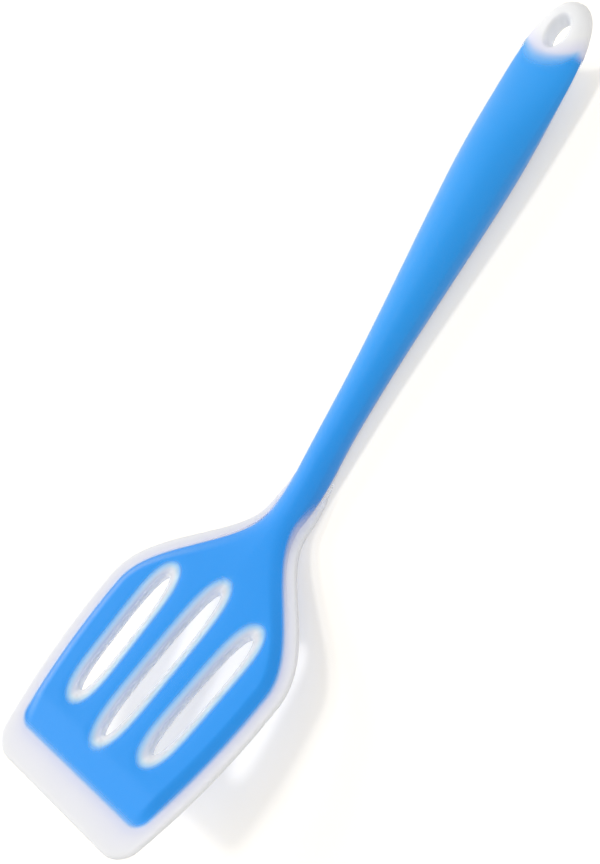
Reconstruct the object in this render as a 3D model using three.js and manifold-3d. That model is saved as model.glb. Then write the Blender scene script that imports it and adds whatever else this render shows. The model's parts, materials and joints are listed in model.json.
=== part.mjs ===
// A slotted turner: a rigid nylon core moulded inside a one-piece silicone skin.
// Millimetres. +X runs towards the end of the handle, +Y across the blade and +Z up. The turner lies
// on a table at z = 0, on its neck and its grip, so the front edge of the blade is in the air.

import * as THREE from 'three';
import { mergeVertices } from 'three/addons/utils/BufferGeometryUtils.js';
import Module from 'manifold-3d';

const wasm = await Module();
wasm.setup();

// Runs along the centre line, from the front edge of the lip to the end of the handle: the whole part,
// then its stretches in order, with the grip taking what the others leave
const OVERALL_LENGTH = 298.8;
const FRONT_LIP = 10.8;
const BLADE_RUN = 53;
const SHOULDER_RUN = 49;
const NECK_RUN = 24;
const END_RUN = 30;
const END_FULLNESS = 2.3;

// Half widths of the core
const FRONT_HALF_WIDTH = 30.2;
const SHOULDER_HALF_WIDTH = 36.3;
const NECK_HALF_WIDTH = 5.2;
const GRIP_HALF_WIDTH = 11.3;

// Thicknesses of the core, and of the envelope that it follows past its own end
const BLADE_THICKNESS = 3;
const NECK_THICKNESS = 9;
const GRIP_THICKNESS = 15.8;
const TAB_THICKNESS = 5.4;
const THICKENING_LEAD = 22;
const THINNING_RUN = 50;
const TAB_RUN = 16;

// Edges of the core's blade: its corners in plan, and how far the round-over reaches in
const CORE_CORNER = 4.5;
const ROUND_OVER = 3.2;
const BLUNT_EDGE = 0.5;

// Bend between the blade and the handle
const BEND_LEAD = 8;
const BEND_RADIUS = 87;
const HANDLE_RISE = THREE.MathUtils.degToRad(17);

// Skin: its wall over the core, the gap that keeps the two solids apart, and its thin lip, which lies
// below the blade's middle and keeps its height above the underside where the neck thickens
const SKIN_WALL = 0.8;
const CLEARANCE = 0.3;
const SIDE_LIP = 4.5;
const LIP_THICKNESS = 1.8;
const LIP_DROP = 0.7;
const LIP_CORNER = 7;
const LIP_FADE_LEAD = 4;
const LIP_FADE_RUN = 40;

// Slots in the core, where the skin is a lining thinner than the blade, with a narrower opening in it
const SLOT_CENTRE = 41.7;
const SLOT_WIDTH = 12.2;
const SLOT_FULLNESS = 5;
const OPENING_FULLNESS = 3;
const MIDDLE_SLOT_LENGTH = 64.6;
const SIDE_SLOT_LENGTH = 54;
const SLOT_PITCH = 19.1;
const SLOT_FAN = THREE.MathUtils.degToRad(2.4);
const LINING_AT_SIDES = 3;
const LINING_AT_ENDS = 4.8;
const LINING_THICKNESS = 3;

// Hanging hole through the end of the skin, and the hollow end of the core in front of it
const HOLE_FROM_END = 11.6;
const HOLE_LENGTH = 9.6;
const HOLE_WIDTH = 6;
const HOLLOW_RADIUS = 13;
const HOLLOW_FROM_END = 19.8;
const HORN_LENGTH = 4.2;

// Holes that the mould's locating pins leave in the underside of the skin
const PIN_DIAMETER = 3;
const PIN_AT_HEEL = 14;
const PIN_AT_GRIP = 60;

// Fineness of the faceted surfaces
const QUADRANT_STEPS = 5;
const LIP_QUADRANT_STEPS = 2;
const LARGEST_ROUND_OVER = 0.96;
const CORNER_STEPS = 4;
const BLADE_STEPS = 4;
const SHOULDER_STEPS = 9;
const NECK_STEPS = 5;
const GRIP_STEPS = 13;
const END_STEPS = 8;
const SLOPE_STEP = 0.01;
const SLOT_STEPS = 28;
const HOLE_STEPS = 24;
const HOLLOW_STEPS = 72;
const PIN_STEPS = 12;
const SAME_POINT = 1e-4;

// Stations: distances along the centre line from the front edge of the lip
const CORE_FRONT = FRONT_LIP;
const SHOULDER = CORE_FRONT + BLADE_RUN;
const NECK = SHOULDER + SHOULDER_RUN;
const NECK_END = NECK + NECK_RUN;
const HANDLE_END = OVERALL_LENGTH;
const WIDEST_GRIP = HANDLE_END - END_RUN;
const TAB = HANDLE_END - TAB_RUN;
const HOLE = HANDLE_END - HOLE_FROM_END;
const HOLLOW = HANDLE_END - HOLLOW_FROM_END;
const SKIN_ON_CORE = CLEARANCE + SKIN_WALL;

// A share that goes from 0 at `from` to 1 at `to` along half a cosine wave
function ease(value, from, to) {
  const share = THREE.MathUtils.clamp((value - from) / (to - from), 0, 1);
  return (1 - Math.cos(Math.PI * share)) / 2;
}

// Half width of the core's plan, before its front corners are rounded and its end is closed
function coreHalfWidth(station) {
  if (station < SHOULDER) {
    const share = (SHOULDER - station) / BLADE_RUN;
    return SHOULDER_HALF_WIDTH - (SHOULDER_HALF_WIDTH - FRONT_HALF_WIDTH) * share * share;
  }
  if (station < NECK_END) {
    return THREE.MathUtils.lerp(SHOULDER_HALF_WIDTH, NECK_HALF_WIDTH, ease(station, SHOULDER, NECK));
  }
  return THREE.MathUtils.lerp(NECK_HALF_WIDTH, GRIP_HALF_WIDTH, ease(station, NECK_END, WIDEST_GRIP));
}

// Half thickness: thin blade, thicker neck and grip, then the thin tab with the hanging hole
function coreHalfThickness(station) {
  const neck = (NECK_THICKNESS - BLADE_THICKNESS) * ease(station, NECK - THICKENING_LEAD, NECK_END);
  const grip = (GRIP_THICKNESS - NECK_THICKNESS) * ease(station, NECK_END, WIDEST_GRIP);
  const thinning = ease(station, TAB - THINNING_RUN, TAB);
  return THREE.MathUtils.lerp(BLADE_THICKNESS + neck + grip, TAB_THICKNESS, thinning) / 2;
}

// Distance across the blade that a layer of one thickness takes on the slanting outline
function across(station, thickness) {
  const widening = coreHalfWidth(station + SLOPE_STEP) - coreHalfWidth(station - SLOPE_STEP);
  return thickness * Math.hypot(1, widening / (2 * SLOPE_STEP));
}

// How much a rounded corner takes off a half width, at a distance behind the front edge
function cornerLoss(behindFront, radius) {
  if (behindFront >= radius) return 0;
  return radius - Math.sqrt(radius * radius - (radius - behindFront) ** 2);
}

// Point of the bent centre line at a station, moved across by `side` and up its normal by `lift`
function place(station, side, lift) {
  const bendStart = NECK - BEND_LEAD;
  const turned = THREE.MathUtils.clamp((station - bendStart) / BEND_RADIUS, 0, HANDLE_RISE);
  const flat = Math.min(station, bendStart);
  const straight = Math.max(station - bendStart - BEND_RADIUS * HANDLE_RISE, 0);
  const x = flat + (BEND_RADIUS - lift) * Math.sin(turned) + straight * Math.cos(turned);
  const z = BEND_RADIUS - (BEND_RADIUS - lift) * Math.cos(turned) + straight * Math.sin(turned);
  return new THREE.Vector3(x, side, z);
}

// Cross-section: a flat-topped oval, with flat faces joined by elliptical sides `roundOver` wide
function flatOval(halfWidth, halfThickness, roundOver, quadrantSteps) {
  const ring = [];
  for (let quadrant = 0; quadrant < 4; quadrant += 1) {
    const middle = (quadrant === 0 || quadrant === 3 ? 1 : -1) * (halfWidth - roundOver);
    for (let step = 0; step <= quadrantSteps; step += 1) {
      const angle = (quadrant + step / quadrantSteps) * Math.PI / 2;
      const sharedWithNext = step === quadrantSteps && quadrant % 2 === 1;
      if (sharedWithNext) continue;
      ring.push([middle + roundOver * Math.cos(angle), halfThickness * Math.sin(angle)]);
    }
  }
  return ring;
}

// Closed solid through rings of equal length, with a fan of triangles over each end
function loft(rings) {
  const size = rings[0].length;
  const positions = rings.flat().flatMap((point) => point.toArray());
  const triangles = [];
  for (let row = 0; row + 1 < rings.length; row += 1) {
    for (let column = 0; column < size; column += 1) {
      const next = (column + 1) % size;
      const near = row * size;
      const far = near + size;
      triangles.push(near + column, near + next, far + column);
      triangles.push(far + column, near + next, far + next);
    }
  }
  const last = (rings.length - 1) * size;
  for (let column = 1; column + 1 < size; column += 1) {
    triangles.push(0, column + 1, column);
    triangles.push(last, last + column, last + column + 1);
  }
  const geometry = new THREE.BufferGeometry();
  geometry.setAttribute('position', new THREE.Float32BufferAttribute(positions, 3));
  geometry.setIndex(triangles);
  return geometry;
}

// Evenly spaced stations from the first value up to, but not including, the last
function spread(from, to, steps) {
  return Array.from({ length: steps }, (_, step) => from + (to - from) * step / steps);
}

// Stations round a front corner, closest together where the outline turns fastest
function cornerStations(front, radius) {
  return spread(0, Math.PI / 2, CORNER_STEPS).map((angle) => front + radius * (1 - Math.cos(angle)));
}

// Stations towards a rounded end, closest together at the end itself
function endStations(from, to) {
  return spread(0, Math.PI / 2, END_STEPS).map((angle) => from + (to - from) * Math.sin(angle));
}

// The core's shape grown by a thickness on every side: the core itself, its cavity or the skin over it
function coreShape(grow, end) {
  const front = CORE_FRONT - grow;
  const corner = CORE_CORNER + grow;
  const noseRun = END_RUN - SKIN_ON_CORE + grow;
  const stations = [
    ...cornerStations(front, corner),
    ...spread(front + corner, SHOULDER, BLADE_STEPS),
    ...spread(SHOULDER, NECK, SHOULDER_STEPS),
    ...spread(NECK, NECK_END, NECK_STEPS),
    ...spread(NECK_END, WIDEST_GRIP, GRIP_STEPS),
    ...endStations(WIDEST_GRIP, end),
    end,
  ];
  const rings = stations.map((station) => {
    const behind = station - front;
    const past = Math.max(station - WIDEST_GRIP, 0) / noseRun;
    const nose = Math.max(1 - past ** END_FULLNESS, BLUNT_EDGE / noseRun) ** (1 / END_FULLNESS);
    const width = (coreHalfWidth(station) + across(station, grow) - cornerLoss(behind, corner)) * nose;
    const edge = Math.min(1, (behind + BLUNT_EDGE) / (ROUND_OVER + BLUNT_EDGE));
    const thickness = (coreHalfThickness(station) + grow) * Math.sqrt(1 - (1 - edge) ** 2);
    const wanted = THREE.MathUtils.lerp(ROUND_OVER + grow, width, ease(station, SHOULDER, NECK));
    const roundOver = Math.min(wanted, width * LARGEST_ROUND_OVER);
    const ring = flatOval(width, thickness, roundOver, QUADRANT_STEPS);
    return ring.map(([side, lift]) => place(station, side, lift));
  });
  return loft(rings);
}

// Thin lip round the blade, which runs out along the neck
function lipShape() {
  const fadeEnd = NECK - LIP_FADE_LEAD + LIP_FADE_RUN;
  const stations = [
    ...cornerStations(0, LIP_CORNER),
    ...spread(LIP_CORNER, SHOULDER, BLADE_STEPS),
    ...spread(SHOULDER, NECK, SHOULDER_STEPS),
    ...spread(NECK, fadeEnd, NECK_STEPS),
    fadeEnd,
  ];
  const rings = stations.map((station) => {
    const left = 1 - ease(station, NECK - LIP_FADE_LEAD, fadeEnd);
    const lip = across(station, SIDE_LIP * left);
    const width = coreHalfWidth(station) + lip - cornerLoss(station, LIP_CORNER);
    const half = LIP_THICKNESS / 2;
    const drop = (LIP_DROP + coreHalfThickness(station) - BLADE_THICKNESS / 2) * left;
    const ring = flatOval(width, half, half, LIP_QUADRANT_STEPS);
    return ring.map(([side, lift]) => place(station, side, lift - drop));
  });
  return loft(rings);
}

// Upright prism over a long oval, turned in plan: |x / half length|^fullness + |y / half width|^2 = 1
function slotPrism(length, width, fullness, side, turn, low, high) {
  const outline = spread(0, 2 * Math.PI, SLOT_STEPS).map((angle) => {
    const along = Math.sign(Math.cos(angle)) * Math.abs(Math.cos(angle)) ** (2 / fullness);
    const point = new THREE.Vector2(along * length / 2, Math.sin(angle) * width / 2);
    return point.rotateAround(new THREE.Vector2(), turn);
  });
  const upright = { depth: high - low, bevelEnabled: false };
  const prism = new THREE.ExtrudeGeometry(new THREE.Shape(outline), upright);
  return prism.translate(CORE_FRONT + SLOT_CENTRE, side, low);
}

// The three slots, each narrowed by a lining at its sides and its ends, between two heights
function slots(liningAtSides, liningAtEnds, fullness, low, high) {
  return [-1, 0, 1].map((index) => {
    const length = index === 0 ? MIDDLE_SLOT_LENGTH : SIDE_SLOT_LENGTH;
    return slotPrism(
      length - 2 * liningAtEnds,
      SLOT_WIDTH - 2 * liningAtSides,
      fullness,
      index * SLOT_PITCH,
      index * SLOT_FAN,
      low,
      high,
    );
  });
}

// Oval bar square to the centre line at a station, between two heights above it
function crossBar(station, length, width, low, high, steps) {
  const bar = new THREE.CylinderGeometry(length / 2, length / 2, high - low, steps);
  bar.scale(1, 1, width / length).rotateX(Math.PI / 2);
  const foot = place(station, 0, low);
  const head = place(station, 0, high);
  bar.rotateY(Math.atan2(head.x - foot.x, head.z - foot.z));
  const middle = foot.add(head).divideScalar(2);
  return bar.translate(middle.x, middle.y, middle.z);
}

// Solid that can be joined and cut, from a closed geometry
function solid(geometry) {
  const bare = geometry.clone();
  bare.deleteAttribute('normal');
  bare.deleteAttribute('uv');
  const merged = mergeVertices(bare, SAME_POINT);
  return new wasm.Manifold(new wasm.Mesh({
    numProp: 3,
    vertProperties: Float32Array.from(merged.attributes.position.array),
    triVerts: Uint32Array.from(merged.index.array),
  }));
}

// Geometry of a finished solid
function geometryOf(body) {
  const mesh = body.getMesh();
  const geometry = new THREE.BufferGeometry();
  geometry.setAttribute('position', new THREE.Float32BufferAttribute(mesh.vertProperties, 3));
  geometry.setIndex(Array.from(mesh.triVerts));
  geometry.computeVertexNormals();
  return geometry;
}

function cutAll(body, cutters) {
  return cutters.reduce((rest, cutter) => rest.subtract(solid(cutter)), body);
}

// The core's shape with its slots and hollow end, grown by a gap where it is the cavity in the skin
function coreSolid(gap) {
  const below = -GRIP_THICKNESS;
  const above = GRIP_THICKNESS;
  const width = 2 * (HOLLOW_RADIUS - gap);
  const hollow = crossBar(HOLLOW + HOLLOW_RADIUS, width, width, below, above, HOLLOW_STEPS);
  const body = solid(coreShape(gap, HOLLOW + HORN_LENGTH + gap));
  return cutAll(body, [...slots(gap, gap, SLOT_FULLNESS, below, above), hollow]);
}

// The skin: the grown core with its lip, thinned to linings in the slots, opened and hollowed
function skinSolid() {
  const outer = solid(coreShape(SKIN_ON_CORE, HANDLE_END)).add(solid(lipShape()));
  const below = -GRIP_THICKNESS;
  const above = GRIP_THICKNESS;
  const lining = LINING_THICKNESS / 2;
  const hole = crossBar(HOLE, HOLE_LENGTH, HOLE_WIDTH, below, above, HOLE_STEPS);
  const pins = [NECK - PIN_AT_HEEL, WIDEST_GRIP - PIN_AT_GRIP].map(
    (station) => crossBar(station, PIN_DIAMETER, PIN_DIAMETER, below, 0, PIN_STEPS),
  );
  const open = cutAll(outer, [
    ...slots(SKIN_ON_CORE, SKIN_ON_CORE, SLOT_FULLNESS, lining, above),
    ...slots(SKIN_ON_CORE, SKIN_ON_CORE, SLOT_FULLNESS, below, -lining),
    ...slots(LINING_AT_SIDES, LINING_AT_ENDS, OPENING_FULLNESS, below, above),
    hole,
  ]);
  return cutAll(open.subtract(coreSolid(CLEARANCE)), pins);
}

// Middle of the volume of closed geometries, by the tetrahedra from the origin to each triangle
function middleOfVolume(geometries) {
  const corners = [0, 1, 2].map(() => new THREE.Vector3());
  const sum = new THREE.Vector3();
  let volume = 0;
  for (const { index, attributes } of geometries) {
    for (let start = 0; start < index.count; start += 3) {
      corners.forEach((point, i) => {
        point.fromBufferAttribute(attributes.position, index.getX(start + i));
      });
      const part = corners[0].dot(corners[1].clone().cross(corners[2])) / 6;
      corners.forEach((point) => sum.addScaledVector(point, part / 4));
      volume += part;
    }
  }
  return sum.divideScalar(volume);
}

// Slope at which the turner lies: the edge under its middle, on the lower side of its side view
function restingSlope(geometry, middle) {
  const { position } = geometry.attributes;
  const points = [];
  for (let i = 0; i < position.count; i += 1) {
    points.push(new THREE.Vector2(position.getX(i), position.getZ(i)));
  }
  points.sort((a, b) => a.x - b.x || a.y - b.y);
  const hull = [];
  for (const point of points) {
    while (hull.length > 1) {
      const edge = hull.at(-1).clone().sub(hull.at(-2));
      if (edge.cross(point.clone().sub(hull.at(-2))) > 0) break;
      hull.pop();
    }
    hull.push(point);
  }
  for (let i = 0; i + 1 < hull.length; i += 1) {
    const edge = hull[i + 1].clone().sub(hull[i]);
    const along = edge.dot(new THREE.Vector2(middle.x, middle.z).sub(hull[i])) / edge.lengthSq();
    if (along >= 0 && along <= 1) return Math.atan2(edge.y, edge.x);
  }
  throw new Error('the turner has no edge to lie on');
}

const nylon = new THREE.MeshStandardMaterial({ color: '#3f9df3', roughness: 0.45, metalness: 0 });
const silicone = new THREE.MeshStandardMaterial({ color: '#ebebf4', roughness: 0.5, metalness: 0 });

const nylonCore = new THREE.Mesh(geometryOf(coreSolid(0)), nylon);
nylonCore.name = 'nylon_core';

const siliconeSkin = new THREE.Mesh(geometryOf(skinSolid()), silicone);
siliconeSkin.name = 'silicone_skin';

const turner = new THREE.Group();
turner.add(nylonCore, siliconeSkin);
const middle = middleOfVolume([nylonCore.geometry, siliconeSkin.geometry]);
turner.rotation.y = restingSlope(siliconeSkin.geometry, middle);

const lying = new THREE.Group();
lying.add(turner);
const box = new THREE.Box3().setFromObject(lying, true);
turner.position.set(-(box.min.x + box.max.x) / 2, -(box.min.y + box.max.y) / 2, -box.min.z);

export default lying;
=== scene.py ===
import json
import math

import bmesh
import bpy
import numpy as np
from mathutils import Matrix, Vector


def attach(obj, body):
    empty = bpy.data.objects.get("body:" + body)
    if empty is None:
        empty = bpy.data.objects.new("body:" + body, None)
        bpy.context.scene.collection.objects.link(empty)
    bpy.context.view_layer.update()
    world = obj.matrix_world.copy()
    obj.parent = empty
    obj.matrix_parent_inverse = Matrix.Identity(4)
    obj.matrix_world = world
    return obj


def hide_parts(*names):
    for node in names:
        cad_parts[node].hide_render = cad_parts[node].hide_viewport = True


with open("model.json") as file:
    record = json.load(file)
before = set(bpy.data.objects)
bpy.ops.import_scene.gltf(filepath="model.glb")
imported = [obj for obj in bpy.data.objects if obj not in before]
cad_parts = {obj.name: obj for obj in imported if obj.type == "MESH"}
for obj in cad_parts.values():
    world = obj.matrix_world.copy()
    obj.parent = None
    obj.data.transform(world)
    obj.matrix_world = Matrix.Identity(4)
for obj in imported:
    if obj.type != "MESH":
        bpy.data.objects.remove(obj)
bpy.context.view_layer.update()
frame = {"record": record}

bl_info = {
    "name": "Slotted turner",
    "version": (1, 0, 0),
    "blender": (4, 5, 0),
    "location": "View3D > Sidebar > Turner",
    "description": "Dresses a slotted silicone turner over its solids and sets it on a studio floor",
    "category": "Object",
}

MM = 0.001

# Stretches along the centre line, which starts at the front edge of the lip
SHOULDER_RUN = 49 * MM
NECK_RUN = 24 * MM
END_RUN = 30 * MM
END_FULLNESS = 2.3
THICKENING_LEAD = 22 * MM
THINNING_RUN = 50 * MM
TAB_RUN = 16 * MM
SLANT_STEP = 0.01 * MM

# Bend between the blade and the handle
BEND_LEAD = 8 * MM
BEND_RADIUS = 87 * MM
HANDLE_RISE = math.radians(17)

# Edges: corners in plan, and how far the surface takes to fall or round off at them
CORE_CORNER = 4.5 * MM
LIP_CORNER = 7 * MM
EDGE_FALL = (0.2 * MM, 5.4 * MM)
FRONT_STEEPNESS = 0.42
SLOT_FALL = (-1.8 * MM, 2.8 * MM)
CORE_EDGE_ROUND = 0.9 * MM
CORE_END_ROUND = 4 * MM
LINING_ROUND_OVER = 0.8 * MM
LINING_RAISE = 0.7 * MM
HOLE_ROUND_OVER = 1.3 * MM
NOSE_ROUND_OVER = 5 * MM

# How far the core reaches past its nominal edges, and how deep it lies under the skin's faces
CORE_GROW = 0.8 * MM
CORE_FRONT_GROW = 2.6 * MM
CORE_SLOT_GROW = 1.2 * MM
CORE_END_GROW = 3.6 * MM
COVER = 0.5 * MM

# The lip lies a little below the middle of the blade, and runs out along the neck
LIP_DROP = 0.7 * MM
LIP_FADE_LEAD = 4 * MM
LIP_FADE_RUN = 40 * MM

# Where the silicone turns from cloudy to clear, measured inwards from the core's edges
SIDE_HAZE = (-0.6 * MM, 1.0 * MM)
NECK_HAZE_SHIFT = 0.9 * MM
HANDLE_HAZE_SHIFT = 4.5 * MM
FRONT_HAZE = (-2 * MM, 2.4 * MM)
SLOT_HAZE = (-0.9 * MM, 1.1 * MM)
END_HAZE_MIDDLE = 4.0 * MM
END_HAZE_SIDES = 2.2 * MM
HORNS = (0.5, 0.95)

# Where it clears again, measured outwards from the openings in the slots and from the hanging hole
OPENING_HAZE = (0.2 * MM, 2.6 * MM)
HOLE_HAZE = (0.1 * MM, 1.6 * MM)

# Where the core's blue tints it and how far it takes to turn pale, measured outwards from the core's edges
LIP_GLOW = (-1.2 * MM, 0.9 * MM)
SLOT_GLOW = (-0.6 * MM, 3.6 * MM)
END_GLOW = (-1.0 * MM, 3.0 * MM)
LIP_PALE_REACH = 1.25
# In the slots the silicone turns pale within a short run. This is partly its own pale tone and partly
# painted light that brightens the linings' shaded walls.
SLOT_PALE_RUN = 1.5 * MM
END_PALE_RUN = 8 * MM

# Slots fan out a little towards the handle, about their middle
SLOT_CENTRE = 41.7 * MM
SLOT_FAN = math.tan(math.radians(2.4))
SLOT_FULLNESS = 5
OPENING_FULLNESS = 3

# Hanging hole, and the hollow end of the core in front of it
HOLE_FROM_END = 11.6 * MM
HOLE_FULLNESS = 2
HOLLOW_RADIUS = 13 * MM
HOLLOW_FROM_END = 21.6 * MM
HORN_LENGTH = 4.2 * MM
HORN_HALF_WIDTH = 10.2 * MM
HOLLOW_LEAD = 17 * MM

# Marks of the mould's locating pins in the underside of the skin
PIN_RADIUS = 1.5 * MM
PIN_FLOOR_RADIUS = 1.05 * MM
PIN_DEPTH = 0.8 * MM
PIN_STOP = 1.8 * MM
PIN_AT_HEEL = 14 * MM
PIN_AT_GRIP = 60 * MM

# Where the record's mount sits on the blade's underside, measured along the centre line
MOUNT_STATION = 17 * MM

# Surface grid: columns in each of the four strips between the slots and the edges, rows between the stops
STRIP_COLUMNS = (50, 30, 30, 50)
CORE_ROWS = (14, 10, 12, 56, 12, 40, 18, 60, 26)
SKIN_ROWS = (10, 24, 8, 12, 56, 12, 16, 10, 12, 16, 20, 10, 20, 22, 24, 14)
CROWDING = 0.75
WELD = 2e-7

# Nylon: streaks of the flow, the stretch along the world's X where the grip's blue sets in, and its gloss
STREAK_SCALE = 60
STREAK_DETAIL = 4
STREAK_STRETCH = (0.25, 1, 1)
STREAK_WANDER = 30 * MM
GRIP_BLUE_START = -40 * MM
GRIP_BLUE_FULL = 60 * MM
NYLON_ROUGHNESS = 0.40
NYLON_SMEARS = 220
NYLON_SPECULAR = 0.18
NYLON_SHEEN = 0.6
NYLON_SHEEN_ROUGHNESS = 0.45
NYLON_GRAIN = 1400
NYLON_GRAIN_STRENGTH = 0.15

# Silicone: clouds in its milk, how far light travels in it, and its gloss
CLOUD_SCALE = 45
CLOUD_DETAIL = 3
CLOUD_DRIFT = 0.2
LIGHT_REACH = 4 * MM
VEIL_BLEND = 0.5
SILICONE_ROUGHNESS = 0.46
SILICONE_SMEARS = 260
SILICONE_SPECULAR = 0.2
SILICONE_GRAIN = 1700
SILICONE_GRAIN_STRENGTH = 0.12

# Both: smears and grain
SMEAR_DETAIL = 3
ROUGHNESS_SPREAD = 0.16
GRAIN_DETAIL = 2
GRAIN_HEIGHT = 0.05 * MM

# Sockets of the mix node for colours, which have no names of their own
MIX_SHARE = 0
MIX_LOW = 6
MIX_HIGH = 7
MIX_RESULT = 2
WHITE = (1, 1, 1, 1)

# Camera, in the blade's own frame: +X to the handle, +Y across, +Z off the blade, from the front edge
EYE = Vector((50.8, -240.7, 331.9)) * MM
SIGHT = Vector((0.2043, 0.6014, -0.7724))
PICTURE_UP = Vector((0.7524, 0.4083, 0.5169))
LENS = 54.17
SENSOR_WIDTH = 36
NEAREST_SEEN = 0.01
FARTHEST_SEEN = 50
FLOOR_SIZE = 12.0

# Where the light comes from, in the world's frame
KEY_FROM = Vector((-0.12, 0.32, 0.94))
FILL_FROM = Vector((-0.15, 0.87, 0.46))
FRONT_FROM = Vector((0.05, -0.60, 0.80))


def length(name, description, millimetres):
    """Property for a size of the turner."""
    return bpy.props.FloatProperty(
        name=name, description=description, default=millimetres * MM, min=0, unit="LENGTH", precision=5
    )


def colour(name, description, value):
    """Property for a colour, as linear red, green and blue."""
    return bpy.props.FloatVectorProperty(
        name=name, description=description, default=value, min=0, max=1, subtype="COLOR", size=3
    )


def factor(name, description, value):
    """Property for a share from 0 to 1."""
    return bpy.props.FloatProperty(
        name=name, description=description, default=value, min=0, max=1, subtype="FACTOR"
    )


def strength(name, description, value):
    """Property for the strength of a light."""
    return bpy.props.FloatProperty(name=name, description=description, default=value, min=0)


def spread(name, description, degrees):
    """Property for the width of a lamp as seen from the floor."""
    return bpy.props.FloatProperty(
        name=name, description=description, default=math.radians(degrees), min=0, subtype="ANGLE"
    )


class TurnerSizes(bpy.types.PropertyGroup):
    """Sizes of the turner that a maker would change."""

    overall_length: length("Overall length", "Along the centre line, lip to handle end", 298.8)
    front_lip: length("Front lip", "Lip in front of the core", 10.8)
    side_lip: length("Side lip", "Lip beside the core", 4.5)
    lip_thickness: length("Lip thickness", "Thickness of the lip", 1.8)
    lining_thickness: length("Lining thickness", "Thickness of the slots' linings at their openings", 3)
    skin: length("Skin", "Silicone over the core", 1.1)
    blade_run: length("Blade run", "From the core's front to its widest place", 53)
    front_half_width: length("Front half width", "Half width of the core at its front", 30.2)
    shoulder_half_width: length("Shoulder half width", "Half width of the core at its widest", 36.3)
    neck_half_width: length("Neck half width", "Half width of the core at the neck", 5.2)
    grip_half_width: length("Grip half width", "Half width of the core at the grip", 11.3)
    blade_thickness: length("Blade thickness", "Thickness of the core's plate", 3)
    neck_thickness: length("Neck thickness", "Thickness of the core at the neck", 9)
    grip_thickness: length("Grip thickness", "Thickness of the core at the grip", 15.8)
    tab_thickness: length("Tab thickness", "Thickness at the hanging hole, less the skin", 5.4)
    slot_width: length("Slot width", "Width of the slots in the core", 12.2)
    middle_slot: length("Middle slot", "Length of the middle slot in the core", 64.6)
    side_slot: length("Side slot", "Length of the side slots in the core", 54)
    slot_pitch: length("Slot pitch", "Distance between the slots' middles", 19.1)
    lining_at_sides: length("Lining at sides", "Silicone along a slot's sides", 3)
    lining_at_ends: length("Lining at ends", "Silicone at a slot's ends", 4.8)
    hole_length: length("Hole length", "Length of the hanging hole", 9.6)
    hole_width: length("Hole width", "Width of the hanging hole", 6)


class TurnerFinish(bpy.types.PropertyGroup):
    """Colours of the turner and how its skin clouds over the core."""

    blue: colour("Blade blue", "Core in the blade", (0.015, 0.338, 0.980))
    grip_blue: colour("Grip blue", "Core in the grip", (0.015, 0.355, 0.950))
    glow: colour("Edge glow", "Silicone beside the core, lit by its blue", (0.440, 0.720, 0.980))
    milk: colour("Silicone milk", "Silicone near the core", (0.730, 0.735, 0.940))
    haze: colour("Silicone haze", "Silicone far from the core", (0.945, 0.940, 1.000))
    cloud_over_core: factor("Cloud over core", "How much the thin skin hides the core", 0.022)
    cloud_in_lining: factor("Cloud in lining", "How much the slots' linings hide", 0.88)
    cloud_at_opening: factor("Cloud at openings", "How much the linings' edges and the hole hide", 0.48)
    cloud_in_lip: factor("Cloud in lip", "How much the lip and the tip hide", 0.93)
    veil_on_blade: factor("Veil on blade", "Milkiness of the blade's skin seen edge on", 0.04)
    veil_on_handle: factor("Veil on handle", "Milkiness of the handle's skin seen edge on", 0.08)
    light_let_through: factor("Light let through", "Share of light that cloudy silicone lets through", 0.8)


class StudioLight(bpy.types.PropertyGroup):
    """Light level of the studio."""

    key: strength("Key", "Strength of the high key light", 0.85)
    key_spread: spread("Key spread", "Width of the key light as seen from the floor", 9)
    fill: strength("Fill", "Strength of the low fill light", 1.1)
    fill_spread: spread("Fill spread", "Width of the fill light as seen from the floor", 30)
    front: strength("Front", "Strength of the broad light from the camera's side", 0.46)
    front_spread: spread("Front spread", "Width of the front light as seen from the floor", 40)
    room: strength("Room", "Strength of the light from the room", 0.42)
    floor_glow: colour("Floor glow", "Light added to the floor as the camera sees it", (0.430, 0.390, 0.320))
    floor: colour("Floor", "Colour of the floor", (0.850, 0.835, 0.800))


def between(low, high, share):
    """Value at a share of the way from low to high."""
    return low + (high - low) * share


def ease(value, start, end):
    """Half a cosine wave, from 0 at start to 1 at end."""
    share = np.clip((value - start) / (end - start), 0, 1)
    return (1 - np.cos(np.pi * share)) / 2


def rounded(depth, reach):
    """Quarter of an ellipse, from 0 on an edge to 1 at reach inside it."""
    share = np.clip(depth / reach, 0, 1)
    return np.sqrt(1 - (1 - share) ** 2)


def corner_depth(front, side, radius):
    """Depth inside two square edges with a rounded corner: radius less the distance from its centre."""
    inside = radius - np.hypot(np.maximum(radius - front, 0), np.maximum(radius - side, 0))
    return np.where(front < radius, inside, side)


def corner_loss(behind, radius):
    """Half width that a rounded corner takes off, at a distance behind the front edge."""
    behind = np.clip(behind, 0, radius)
    return radius - np.sqrt(radius**2 - (radius - behind) ** 2)


def crowded_shares(count):
    """Shares from 0 to 1 that crowd at both ends: partly even, partly the shadow of steps round a circle."""
    even = np.linspace(0, 1, count)
    return between(even, ease(even, 0, 1), CROWDING)


def row_stations(stops, counts):
    """Stations that pass through every stop and crowd on both sides of it."""
    stretches = [
        between(start, end, crowded_shares(count + 1)[:-1])
        for start, end, count in zip(stops[:-1], stops[1:], counts, strict=True)
    ]
    return np.append(np.concatenate(stretches), stops[-1])


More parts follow.
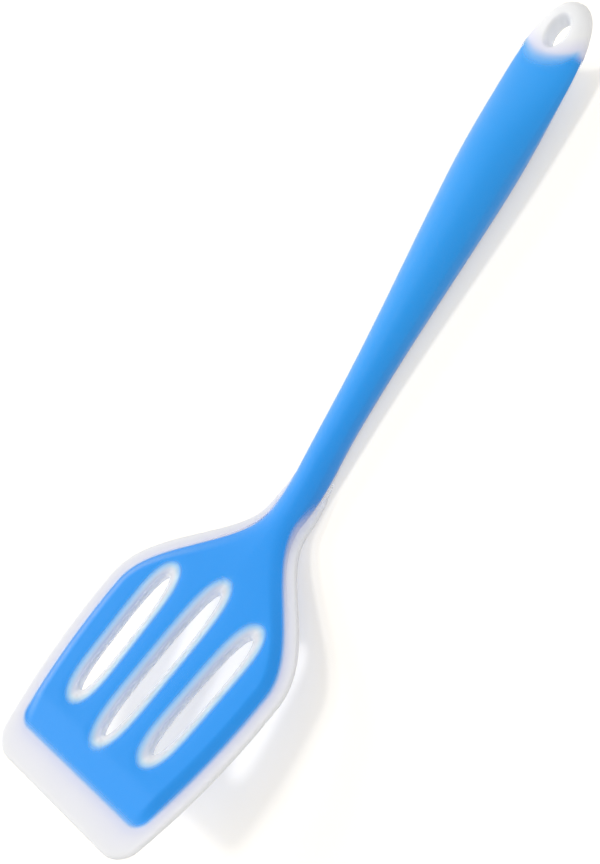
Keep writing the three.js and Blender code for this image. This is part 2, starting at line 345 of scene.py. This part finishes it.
class Oval:
    """Long hole: |along / half length| ^ fullness + |across / half width| ^ 2 = 1, on a sloping line."""

    def __init__(self, centre, side, slope, half_length, half_width, fullness):
        self.centre = centre
        self.side = side
        self.slope = slope
        self.half_length = half_length
        self.half_width = half_width
        self.fullness = fullness

    def line(self, station):
        """Middle of the hole at a station."""
        return self.side + (station - self.centre) * self.slope

    def half_gap(self, station):
        """Half of the hole's width at a station, and 0 past its ends."""
        share = np.clip(np.abs(station - self.centre) / self.half_length, 0, 1)
        return self.half_width * np.sqrt(1 - share**self.fullness)

    def depth(self, station, across):
        """Distance outside the hole to first order: the equation's excess over its steepness."""
        along = np.abs(station - self.centre) / self.half_length
        beside = np.abs(across - self.line(station)) / self.half_width
        excess = along**self.fullness + beside**2 - 1
        steepness = np.hypot(
            self.fullness * along ** (self.fullness - 1) / self.half_length, 2 * beside / self.half_width
        )
        return excess / np.maximum(steepness, 1)


def nearest_depth(ovals, station, across):
    """Distance outside the nearest of several holes."""
    return np.minimum.reduce([oval.depth(station, across) for oval in ovals])


class TurnerForm:
    """Shape of the turner: stations along its centre line, distances across it and heights above it."""

    def __init__(self, sizes):
        self.sizes = sizes
        self.core_front = sizes.front_lip
        self.shoulder = self.core_front + sizes.blade_run
        self.neck = self.shoulder + SHOULDER_RUN
        self.neck_end = self.neck + NECK_RUN
        self.end = sizes.overall_length
        self.widest_grip = self.end - END_RUN
        self.tab = self.end - TAB_RUN
        self.hollow = self.end - HOLLOW_FROM_END
        self.slot_centre = self.core_front + SLOT_CENTRE
        self.heel_pin = self.neck - PIN_AT_HEEL
        self.grip_pin = self.widest_grip - PIN_AT_GRIP
        self.hole = Oval(
            self.end - HOLE_FROM_END, 0, 0, sizes.hole_length / 2, sizes.hole_width / 2, HOLE_FULLNESS
        )

    def slots(self, lining_at_sides=0, lining_at_ends=0, fullness=SLOT_FULLNESS):
        """The right, middle and left slot, each narrowed by a lining."""
        ovals = []
        for index in (-1, 0, 1):
            slot_length = self.sizes.side_slot if index else self.sizes.middle_slot
            ovals.append(Oval(
                self.slot_centre,
                index * self.sizes.slot_pitch,
                index * SLOT_FAN,
                slot_length / 2 - lining_at_ends,
                self.sizes.slot_width / 2 - lining_at_sides,
                fullness,
            ))
        return ovals

    def openings(self):
        """The lens-shaped openings that the linings leave in the slots."""
        return self.slots(self.sizes.lining_at_sides, self.sizes.lining_at_ends, OPENING_FULLNESS)

    def slot_stops(self, ovals):
        """Stations where the middle slot and the side slots start and end."""
        side = ovals[0].half_length
        middle = ovals[1].half_length
        return [self.slot_centre + reach for reach in (-middle, -side, side, middle)]

    def half_width(self, station):
        """Core's half width: a parabola along the blade, then two half waves in to the neck and out."""
        sizes = self.sizes
        lead = np.maximum(self.shoulder - station, 0) / sizes.blade_run
        blade = between(sizes.shoulder_half_width, sizes.front_half_width, lead**2)
        neck = (sizes.neck_half_width - sizes.shoulder_half_width) * ease(station, self.shoulder, self.neck)
        grip = (sizes.grip_half_width - sizes.neck_half_width) * ease(
            station, self.neck_end, self.widest_grip
        )
        return blade + neck + grip

    def slant(self, station):
        """Length of the core's outline for each length along the centre line."""
        change = self.half_width(station + SLANT_STEP) - self.half_width(station - SLANT_STEP)
        return np.hypot(1, change / (2 * SLANT_STEP))

    def nose(self, station, grow):
        """Share of the width left towards the end of the handle, as a full-bodied oval."""
        run = END_RUN - self.sizes.skin + grow
        past = np.clip((station - self.widest_grip) / run, 0, 1)
        return (1 - past**END_FULLNESS) ** (1 / END_FULLNESS)

    def half_thickness(self, station):
        """Half of the core's thickness: thin blade, thick neck and grip, then the thin tab."""
        sizes = self.sizes
        neck = (sizes.neck_thickness - sizes.blade_thickness) * ease(
            station, self.neck - THICKENING_LEAD, self.neck_end
        )
        grip = (sizes.grip_thickness - sizes.neck_thickness) * ease(
            station, self.neck_end, self.widest_grip
        )
        thick = sizes.blade_thickness + neck + grip
        return between(thick, sizes.tab_thickness, ease(station, self.tab - THINNING_RUN, self.tab)) / 2

    def lip_left(self, station):
        """Share of the lip that is left as it runs out along the neck."""
        start = self.neck - LIP_FADE_LEAD
        return 1 - ease(station, start, start + LIP_FADE_RUN)

    def body_half_width(self, station, grow):
        """Half width of the core grown by a layer, before its front corners are rounded."""
        return (self.half_width(station) + self.slant(station) * grow) * self.nose(station, grow)

    def body_depth(self, station, across, grow):
        """Depth inside the plan of the core grown by a layer."""
        side = (self.body_half_width(station, grow) - np.abs(across)) / self.slant(station)
        return corner_depth(station - self.core_front + grow, side, CORE_CORNER + grow)

    def edge_rise(self, station, across):
        """Share of the full height in from the sides: half a wave on the blade, an oval on the handle."""
        skin = self.sizes.skin
        width = np.maximum(self.body_half_width(station, skin), WELD)
        side = (width - np.abs(across)) / self.slant(station)
        front = (station - self.core_front + skin) * FRONT_STEEPNESS
        wave = ease(corner_depth(front, side, CORE_CORNER + skin), *EDGE_FALL)
        return between(wave, rounded(side, width), ease(station, self.shoulder, self.neck))

    def lip_half_width(self, station):
        """Half width of the skin with its lip, before its front corners are rounded."""
        layer = np.maximum(self.sizes.side_lip * self.lip_left(station), self.sizes.skin)
        full = self.half_width(station) + self.slant(station) * layer
        return full * self.nose(station, self.sizes.skin)

    def skin_half_width(self, station):
        """Half width of the skin's outline, with its front corners rounded."""
        return self.lip_half_width(station) - corner_loss(station, LIP_CORNER)

    def skin_faces(self, station, across):
        """Heights of the skin's top and underside: the thin lip or lining, rising to the full thickness."""
        sizes = self.sizes
        left = self.lip_left(station)
        side = (self.lip_half_width(station) - np.abs(across)) / self.slant(station)
        half_lip = sizes.lip_thickness / 2
        lip = half_lip * rounded(corner_depth(station, side, LIP_CORNER), half_lip) * left
        opening = nearest_depth(self.openings(), station, across)
        lining = sizes.lining_thickness / 2 * rounded(opening, LINING_ROUND_OVER)
        thick = self.half_thickness(station) + sizes.skin
        tip = rounded(self.hole.depth(station, across), HOLE_ROUND_OVER)
        tip = tip * rounded(self.end - station, NOSE_ROUND_OVER)
        rise = ease(nearest_depth(self.slots(), station, across), *SLOT_FALL)
        edge = self.edge_rise(station, across)
        half = between(lip, between(lining, thick * tip, rise), edge)
        drop = (LIP_DROP + thick - sizes.blade_thickness / 2 - sizes.skin) * left
        middle = LINING_RAISE * (1 - rise) * edge - drop * (1 - edge)
        return middle + half, middle - half

    def core_half_width(self, station):
        """Half width of the core's outline, with its front corners rounded."""
        behind = station - self.core_front + CORE_FRONT_GROW
        return self.body_half_width(station, CORE_GROW) - corner_loss(behind, CORE_CORNER + CORE_GROW)

    def core_end(self, across):
        """How far the core's hollow end stands past its deepest place: an arc between two blunt horns."""
        beside = np.minimum(np.abs(across), HOLLOW_RADIUS)
        return np.minimum(HOLLOW_RADIUS - np.sqrt(HOLLOW_RADIUS**2 - beside**2), HORN_LENGTH)

    def pin_marks(self, station, across):
        """Depth of the two round pin marks, as flat-bottomed dimples."""
        marks = (self.heel_pin, self.grip_pin)
        distance = np.minimum.reduce([np.hypot(station - mark, across) for mark in marks])
        return PIN_DEPTH * (1 - ease(distance, PIN_FLOOR_RADIUS, PIN_RADIUS))

    def lip_haze(self, station, across):
        """1 in the lip and 0 over the core: half waves in from its sides and its front."""
        shift = NECK_HAZE_SHIFT * ease(station, self.shoulder, self.neck)
        shift = shift + HANDLE_HAZE_SHIFT * (1 - self.lip_left(station))
        side = (self.body_half_width(station, 0) - np.abs(across)) / self.slant(station) + shift
        front = station - self.core_front
        sides = 1 - ease(corner_depth(front, side, CORE_CORNER), *SIDE_HAZE)
        return np.maximum(sides, 1 - ease(front, *FRONT_HAZE))

    def tip_haze(self, station, across):
        """1 past the core's hollow end and 0 over the core: a half wave, shorter at the horns."""
        beside = np.abs(across) / np.maximum(self.body_half_width(station, self.sizes.skin), WELD)
        run = between(END_HAZE_MIDDLE, END_HAZE_SIDES, ease(beside, *HORNS))
        return 1 - ease((self.hollow + self.core_end(across) - station) / run, -1, 1)

    def cloud(self, station, across, finish):
        """How much the silicone hides: little over the core, much in the lip, the linings and the tip, and
        less again towards the openings and the hole."""
        clear = finish.cloud_over_core
        slot = 1 - ease(nearest_depth(self.slots(), station, across), *SLOT_HAZE)
        opening = ease(nearest_depth(self.openings(), station, across), *OPENING_HAZE)
        hole = ease(self.hole.depth(station, across), *HOLE_HAZE)
        lining = between(finish.cloud_at_opening, finish.cloud_in_lining, opening)
        tip = between(finish.cloud_at_opening, finish.cloud_in_lip, hole)
        return clear + np.maximum.reduce([
            (finish.cloud_in_lip - clear) * self.lip_haze(station, across),
            (lining - clear) * slot,
            (tip - clear) * self.tip_haze(station, across),
        ])

    def beyond_core(self, station, across):
        """Distances outside the core's plan: past its edge, inside its slots and past its end."""
        edge = -self.body_depth(station, across, 0)
        slot = -nearest_depth(self.slots(), station, across)
        end = station - self.hollow - self.core_end(across)
        return edge, slot, end

    def glow(self, station, across):
        """How blue the silicone is near the core: half waves out from its edge, its slots and its end."""
        runs = zip(self.beyond_core(station, across), (LIP_GLOW, SLOT_GLOW, END_GLOW), strict=True)
        return 1 - np.maximum.reduce([ease(distance, *run) for distance, run in runs])

    def paleness(self, station, across):
        """How pale the silicone is: by its share of the way across the lip, a lining or the tip."""
        edge, slot, end = self.beyond_core(station, across)
        narrowing = ease(station, 0, self.core_front + CORE_CORNER)
        lip = between(self.sizes.front_lip, self.sizes.side_lip, narrowing)
        shares = [edge / (lip * LIP_PALE_REACH), slot / SLOT_PALE_RUN, end / END_PALE_RUN]
        return np.clip(np.maximum.reduce(shares), 0, 1)

    def place(self, station, across, height):
        """World points: along the flat blade, round the bend, up the straight handle, then turned to lie
        as the record says."""
        bend_start = self.neck - BEND_LEAD
        turned = np.clip((station - bend_start) / BEND_RADIUS, 0, HANDLE_RISE)
        straight = np.maximum(station - bend_start - BEND_RADIUS * HANDLE_RISE, 0)
        arm = BEND_RADIUS - height
        along = np.minimum(station, bend_start) + arm * np.sin(turned) + straight * np.cos(turned)
        above = BEND_RADIUS - arm * np.cos(turned) + straight * np.sin(turned)
        local = np.stack([along, across, above, np.ones_like(along)], axis=-1)
        matrix = np.array(blade_frame(self.sizes))
        return (local @ matrix.T)[..., :3]


def blade_frame(sizes):
    """Matrix from the blade's own frame to the world, from the record's mount on the blade's underside."""
    mount = next(item for item in frame["record"]["mounts"] if item["name"] == "blade_underside")
    tilt = math.atan2(-mount["axis"][0], -mount["axis"][2])
    turn = Matrix.Rotation(tilt, 4, "Y")
    underside = Vector((MOUNT_STATION, 0, -sizes.blade_thickness / 2 - sizes.skin))
    return Matrix.Translation(Vector(mount["pos_m"]) - turn @ underside) @ turn


def strip_grid(stations, half_width, hole_lines, last):
    """Distances across, row by row: four strips between the outline and three lines that open into holes.

    Past the last station of the side slots the lines keep their share of the half width.
    """
    held = np.minimum(stations, last)
    narrowing = half_width / np.interp(held, stations, half_width)
    edges = [-half_width]
    for ovals in hole_lines:
        line = ovals[0].line(held) * narrowing
        gap = sum(oval.half_gap(stations) for oval in ovals)
        edges += [line - gap, line + gap]
    edges.append(half_width)
    strip = np.repeat(np.arange(len(STRIP_COLUMNS)), STRIP_COLUMNS)
    share = np.concatenate([crowded_shares(count) for count in STRIP_COLUMNS])
    low = np.array(edges[0::2])[strip].T
    high = np.array(edges[1::2])[strip].T
    return between(low, high, share)


def grid_faces(rows, columns, first, upward):
    """Quads of a grid of vertices, leaving out those that would join two strips."""
    ids = first + np.arange(rows * columns).reshape(rows, columns)
    strip = np.repeat(np.arange(len(STRIP_COLUMNS)), STRIP_COLUMNS)
    near = np.flatnonzero(strip[:-1] == strip[1:])
    quads = np.stack([ids[:-1, near], ids[1:, near], ids[1:, near + 1], ids[:-1, near + 1]], axis=-1)
    return quads.reshape(-1, 4)[:, :: 1 if upward else -1]


def closed_piece(name, top, bottom, layers):
    """Object of an upper and a lower sheet of points, welded where they meet at edges, holes and ends."""
    rows, columns = top.shape[:2]
    points = np.concatenate([top.reshape(-1, 3), bottom.reshape(-1, 3)])
    faces = np.concatenate([
        grid_faces(rows, columns, 0, True),
        grid_faces(rows, columns, rows * columns, False),
    ])
    mesh = bpy.data.meshes.new(name)
    mesh.from_pydata(points.tolist(), [], faces.tolist())
    for layer, values in layers.items():
        attribute = mesh.attributes.new(layer, "FLOAT", "POINT")
        attribute.data.foreach_set("value", np.tile(values.ravel(), 2).astype(np.float32))
    work = bmesh.new()
    work.from_mesh(mesh)
    bmesh.ops.remove_doubles(work, verts=work.verts, dist=WELD)
    work.to_mesh(mesh)
    work.free()
    mesh.shade_smooth()
    piece = bpy.data.objects.new(name, mesh)
    bpy.context.scene.collection.objects.link(piece)
    return piece


def core_piece(form):
    """The core: a cover's depth inside the skin's faces, times a quarter ellipse in from its own edges."""
    slots = form.slots(CORE_SLOT_GROW, CORE_SLOT_GROW)
    slot_stops = form.slot_stops(slots)
    front = form.core_front - CORE_FRONT_GROW
    last = form.hollow + CORE_END_GROW
    corner = CORE_CORNER + CORE_GROW
    stops = [front, front + corner, *slot_stops, form.neck, form.neck_end, form.widest_grip, last]
    rows = row_stations(stops, CORE_ROWS)
    half_width = form.core_half_width(rows)
    across = strip_grid(rows, half_width, [[slot] for slot in slots], slot_stops[2])
    share = across / half_width[:, None]
    pull = ease(rows, last - HOLLOW_LEAD, last)[:, None]
    end = form.core_end(share * HORN_HALF_WIDTH)
    station = rows[:, None] + pull * end
    across = np.where(pull > 0, share * form.core_half_width(station), across)

    side = (form.body_half_width(station, CORE_GROW) - np.abs(across)) / form.slant(station)
    inside = np.minimum(corner_depth(station - front, side, corner), nearest_depth(slots, station, across))
    edge = rounded(inside, CORE_EDGE_ROUND) * rounded(last + end - station, CORE_END_ROUND)
    top, bottom = form.skin_faces(station, across)
    middle = (top + bottom) / 2
    half = np.maximum((top - bottom) / 2 - COVER, 0) * edge
    top = form.place(station, across, middle + half)
    bottom = form.place(station, across, middle - half)
    return closed_piece("Nylon_core", top, bottom, {})


def skin_piece(form, finish):
    """The skin: its two faces over a grid between its outline, the slots and the hanging hole."""
    openings = form.openings()
    slot_stops = form.slot_stops(openings)
    stops = [
        0, LIP_CORNER, form.core_front + LIP_CORNER, *slot_stops,
        form.heel_pin - PIN_STOP, form.heel_pin + PIN_STOP,
        form.neck, form.neck_end,
        form.grip_pin - PIN_STOP, form.grip_pin + PIN_STOP, form.widest_grip,
        form.hole.centre - form.hole.half_length, form.hole.centre + form.hole.half_length, form.end,
    ]
    rows = row_stations(stops, SKIN_ROWS)
    lines = [[openings[0]], [openings[1], form.hole], [openings[2]]]
    across = strip_grid(rows, form.skin_half_width(rows), lines, slot_stops[2])
    station = np.broadcast_to(rows[:, None], across.shape)
    top, bottom = form.skin_faces(station, across)
    bottom = bottom + form.pin_marks(station, across)
    outline = [0, -1]
    top[:, outline] = bottom[:, outline] = (top[:, outline] + bottom[:, outline]) / 2
    layers = {
        "cloud": form.cloud(station, across, finish),
        "glow": form.glow(station, across),
        "paleness": form.paleness(station, across),
        "veil": between(finish.veil_on_blade, finish.veil_on_handle, 1 - form.lip_left(station)),
    }
    top = form.place(station, across, top)
    bottom = form.place(station, across, bottom)
    return closed_piece("Silicone_skin", top, bottom, layers)


class Socket:
    """A node's output, with the operators of shader maths on other outputs and plain numbers."""

    def __init__(self, tree, source):
        self.tree = tree
        self.source = source

    def maths(self, operation, first, second):
        """Output of a maths node."""
        made = self.tree.add("ShaderNodeMath", {"operation": operation}, {0: first, 1: second})
        return made.out("Value")

    def __add__(self, other):
        return self.maths("ADD", self, other)

    __radd__ = __add__

    def __sub__(self, other):
        return self.maths("SUBTRACT", self, other)

    def __rsub__(self, other):
        return self.maths("SUBTRACT", other, self)

    def __mul__(self, other):
        return self.maths("MULTIPLY", self, other)

    __rmul__ = __mul__


class Made:
    """A node in a tree, whose outputs come as sockets."""

    def __init__(self, tree, node):
        self.tree = tree
        self.node = node

    def out(self, name):
        """The output of that name or number."""
        return Socket(self.tree, self.node.outputs[name])


class NodeTree:
    """A material's or world's nodes, added by type, settings and inputs."""

    def __init__(self, owner):
        owner.use_nodes = True
        self.nodes = owner.node_tree.nodes
        self.links = owner.node_tree.links
        self.nodes.clear()

    def add(self, kind, settings=None, inputs=None):
        """A node of a kind: its settings are set first, then its sockets get values or links."""
        node = self.nodes.new(kind)
        for name, value in (settings or {}).items():
            setattr(node, name, value)
        for name, value in (inputs or {}).items():
            if isinstance(value, Socket):
                self.links.new(value.source, node.inputs[name])
            else:
                node.inputs[name].default_value = value
        return Made(self, node)

    def noise(self, scale, detail, stretch=(1, 1, 1)):
        """Noise of about 0 to 1 over the object, in waves per metre, drawn out along an axis by stretch."""
        place = self.add("ShaderNodeTexCoord").out("Object")
        stretched = self.add("ShaderNodeMapping", {}, {"Vector": place, "Scale": stretch}).out("Vector")
        inputs = {"Vector": stretched, "Scale": scale, "Detail": detail}
        return self.add("ShaderNodeTexNoise", {}, inputs).out("Fac")

    def attribute(self, name):
        """A piece's own attribute."""
        return self.add("ShaderNodeAttribute", {"attribute_name": name}).out("Fac")

    def blend(self, share, low, high):
        """Colour between two colours, each a socket or plain red, green and blue."""
        low, high = [end if isinstance(end, Socket) else (*end, 1) for end in (low, high)]
        inputs = {MIX_SHARE: share, MIX_LOW: low, MIX_HIGH: high}
        return self.add("ShaderNodeMix", {"data_type": "RGBA"}, inputs).out(MIX_RESULT)

    def smears(self, roughness, scale):
        """Roughness that rises a little in smears."""
        return roughness + ROUGHNESS_SPREAD * self.noise(scale, SMEAR_DETAIL)

    def grain(self, scale, relief):
        """Normal of a fine moulded grain."""
        height = self.noise(scale, GRAIN_DETAIL)
        inputs = {"Height": height, "Strength": relief, "Distance": GRAIN_HEIGHT}
        return self.add("ShaderNodeBump", {}, inputs).out("Normal")


def nylon(finish):
    """Blue nylon: long faint streaks where the melt flowed, a satin surface and a fine moulded grain."""
    material = bpy.data.materials.new("Blue_nylon")
    tree = NodeTree(material)
    place = tree.add("ShaderNodeTexCoord").out("Object")
    along = tree.add("ShaderNodeSeparateXYZ", {}, {"Vector": place}).out("X")
    streaks = tree.noise(STREAK_SCALE, STREAK_DETAIL, STREAK_STRETCH)
    grip = tree.add("ShaderNodeMapRange", {"interpolation_type": "SMOOTHSTEP"}, {
        "Value": along + STREAK_WANDER * streaks,
        "From Min": GRIP_BLUE_START,
        "From Max": GRIP_BLUE_FULL,
    }).out("Result")
    shader = tree.add("ShaderNodeBsdfPrincipled", {}, {
        "Base Color": tree.blend(grip, finish.blue, finish.grip_blue),
        "Roughness": tree.smears(NYLON_ROUGHNESS, NYLON_SMEARS),
        "Specular IOR Level": NYLON_SPECULAR,
        "Sheen Weight": NYLON_SHEEN,
        "Sheen Roughness": NYLON_SHEEN_ROUGHNESS,
        "Normal": tree.grain(NYLON_GRAIN, NYLON_GRAIN_STRENGTH),
    })
    tree.add("ShaderNodeOutputMaterial", {}, {"Surface": shader.out("BSDF")})
    return material


def silicone(finish):
    """Milky silicone: clear where it is thin over the core and cloudy where it is thick, with faint clouds.

    It hides less from shadow rays and diffuse rays, because light gets through it.
    """
    material = bpy.data.materials.new("Milky_silicone")
    tree = NodeTree(material)
    clouds = tree.noise(CLOUD_SCALE, CLOUD_DETAIL)
    pale = tree.attribute("paleness") + CLOUD_DRIFT * (clouds - 0.5)
    cloudy = tree.blend(pale, finish.milk, finish.haze)
    facing = tree.add("ShaderNodeLayerWeight", {}, {"Blend": VEIL_BLEND}).out("Facing")
    cloud = tree.attribute("cloud")
    cover = cloud + (1 - cloud) * tree.attribute("veil") * facing
    ray = tree.add("ShaderNodeLightPath")
    light = ray.out("Is Shadow Ray") + ray.out("Is Diffuse Ray")
    shader = tree.add("ShaderNodeBsdfPrincipled", {}, {
        "Base Color": tree.blend(tree.attribute("glow"), cloudy, finish.glow),
        "Roughness": tree.smears(SILICONE_ROUGHNESS, SILICONE_SMEARS),
        "Specular IOR Level": SILICONE_SPECULAR,
        "Subsurface Weight": 1,
        "Subsurface Radius": (1, 1, 1),
        "Subsurface Scale": LIGHT_REACH,
        "Alpha": cover * (1 - finish.light_let_through * light),
        "Normal": tree.grain(SILICONE_GRAIN, SILICONE_GRAIN_STRENGTH),
    })
    tree.add("ShaderNodeOutputMaterial", {}, {"Surface": shader.out("BSDF")})
    return material


def seen_rays(tree):
    """1 for rays that the camera sees, straight or in a reflection or through glass, and else 0."""
    ray = tree.add("ShaderNodeLightPath")
    return ray.out("Is Camera Ray") + ray.out("Is Glossy Ray") + ray.out("Is Transmission Ray")


def floor_finish(light):
    """Pale matt floor, with a glow for the camera that makes it white and keeps its shadows."""
    material = bpy.data.materials.new("Studio_floor")
    tree = NodeTree(material)
    lit = tree.add("ShaderNodeBsdfDiffuse", {}, {"Color": (*light.floor, 1)})
    glow = tree.add("ShaderNodeEmission", {}, {"Color": (*light.floor_glow, 1), "Strength": 1})
    both = tree.add("ShaderNodeAddShader", {}, {0: lit.out("BSDF"), 1: glow.out("Emission")})
    inputs = {0: seen_rays(tree), 1: lit.out("BSDF"), 2: both.out("Shader")}
    shader = tree.add("ShaderNodeMixShader", {}, inputs)
    tree.add("ShaderNodeOutputMaterial", {}, {"Surface": shader.out("Shader")})
    return material


def room_light(light):
    """White room: white to the camera and in reflections, and a soft light on everything else."""
    world = bpy.data.worlds.new("Studio_room")
    tree = NodeTree(world)
    lit = tree.add("ShaderNodeBackground", {}, {"Color": WHITE, "Strength": light.room})
    white = tree.add("ShaderNodeBackground", {}, {"Color": WHITE, "Strength": 1})
    inputs = {0: seen_rays(tree), 1: lit.out("Background"), 2: white.out("Background")}
    shader = tree.add("ShaderNodeMixShader", {}, inputs)
    tree.add("ShaderNodeOutputWorld", {}, {"Surface": shader.out("Shader")})
    bpy.context.scene.world = world


def finish_piece(piece, material, node):
    """Dresses a piece, and has it stand for its CAD node on the part's one body."""
    piece.data.materials.append(material)
    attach(piece, "root")
    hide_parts(node)


class TURNER_OT_core(bpy.types.Operator):
    """Build the blue nylon core"""

    bl_idname = "turner.core"
    bl_label = "Nylon core"

    def execute(self, context):
        scene = context.scene
        piece = core_piece(TurnerForm(scene.turner_sizes))
        finish_piece(piece, nylon(scene.turner_finish), "nylon_core")
        return {"FINISHED"}


class TURNER_OT_skin(bpy.types.Operator):
    """Build the milky silicone skin over the core"""

    bl_idname = "turner.skin"
    bl_label = "Silicone skin"

    def execute(self, context):
        scene = context.scene
        piece = skin_piece(TurnerForm(scene.turner_sizes), scene.turner_finish)
        finish_piece(piece, silicone(scene.turner_finish), "silicone_skin")
        return {"FINISHED"}


class TURNER_OT_stage(bpy.types.Operator):
    """Set up the floor, the lights and the camera"""

    bl_idname = "turner.stage"
    bl_label = "Studio stage"

    def execute(self, context):
        scene = context.scene
        light = scene.studio_light
        scene.view_settings.view_transform = "Standard"
        room_light(light)
        self.add_floor(scene)
        self.add_sun(scene, "Key", light.key, light.key_spread, KEY_FROM)
        self.add_sun(scene, "Fill", light.fill, light.fill_spread, FILL_FROM)
        self.add_sun(scene, "Front", light.front, light.front_spread, FRONT_FROM)
        self.add_camera(scene)
        return {"FINISHED"}

    def add_floor(self, scene):
        """A square floor under the part."""
        half = FLOOR_SIZE / 2
        mesh = bpy.data.meshes.new("Floor")
        corners = [(-half, -half, 0), (half, -half, 0), (half, half, 0), (-half, half, 0)]
        mesh.from_pydata(corners, [], [(0, 1, 2, 3)])
        floor = bpy.data.objects.new("Floor", mesh)
        mesh.materials.append(floor_finish(scene.studio_light))
        scene.collection.objects.link(floor)

    def add_sun(self, scene, name, power, width, source):
        """A sun that shines from a direction."""
        lamp = bpy.data.lights.new(name, "SUN")
        lamp.energy = power
        lamp.angle = width
        sun = bpy.data.objects.new(name, lamp)
        sun.rotation_mode = "QUATERNION"
        sun.rotation_quaternion = source.to_track_quat("Z", "Y")
        scene.collection.objects.link(sun)

    def add_camera(self, scene):
        """The camera at the photo's angle, placed from the blade."""
        lens = bpy.data.cameras.new("Camera")
        lens.lens = LENS
        lens.sensor_width = SENSOR_WIDTH
        lens.clip_start = NEAREST_SEEN
        lens.clip_end = FARTHEST_SEEN
        camera = bpy.data.objects.new("Camera", lens)
        back = -SIGHT.normalized()
        right = PICTURE_UP.cross(back).normalized()
        up = back.cross(right)
        view = Matrix((right, up, back)).transposed().to_4x4()
        view.translation = EYE
        camera.matrix_world = blade_frame(scene.turner_sizes) @ view
        scene.collection.objects.link(camera)
        scene.camera = camera


class TURNER_PT_panel(bpy.types.Panel):
    """Lists the turner's pieces, sizes and finish"""

    bl_label = "Slotted turner"
    bl_idname = "TURNER_PT_panel"
    bl_space_type = "VIEW_3D"
    bl_region_type = "UI"
    bl_category = "Turner"

    def draw(self, context):
        layout = self.layout
        for operator in OPERATORS:
            layout.operator(operator.bl_idname)
        for group in (context.scene.turner_sizes, context.scene.turner_finish, context.scene.studio_light):
            column = layout.column()
            for name in group.__annotations__:
                column.prop(group, name)


OPERATORS = (TURNER_OT_core, TURNER_OT_skin, TURNER_OT_stage)
CLASSES = (TurnerSizes, TurnerFinish, StudioLight, *OPERATORS, TURNER_PT_panel)


def register():
    """Registers the classes and gives each scene the turner's sizes, finish and light."""
    for item in CLASSES:
        bpy.utils.register_class(item)
    bpy.types.Scene.turner_sizes = bpy.props.PointerProperty(type=TurnerSizes)
    bpy.types.Scene.turner_finish = bpy.props.PointerProperty(type=TurnerFinish)
    bpy.types.Scene.studio_light = bpy.props.PointerProperty(type=StudioLight)


def unregister():
    """Takes away what register added."""
    del bpy.types.Scene.studio_light
    del bpy.types.Scene.turner_finish
    del bpy.types.Scene.turner_sizes
    for item in reversed(CLASSES):
        bpy.utils.unregister_class(item)


def main():
    """Builds the turner and its stage."""
    register()
    bpy.ops.turner.core()
    bpy.ops.turner.skin()
    bpy.ops.turner.stage()


if __name__ == "__main__":
    main()
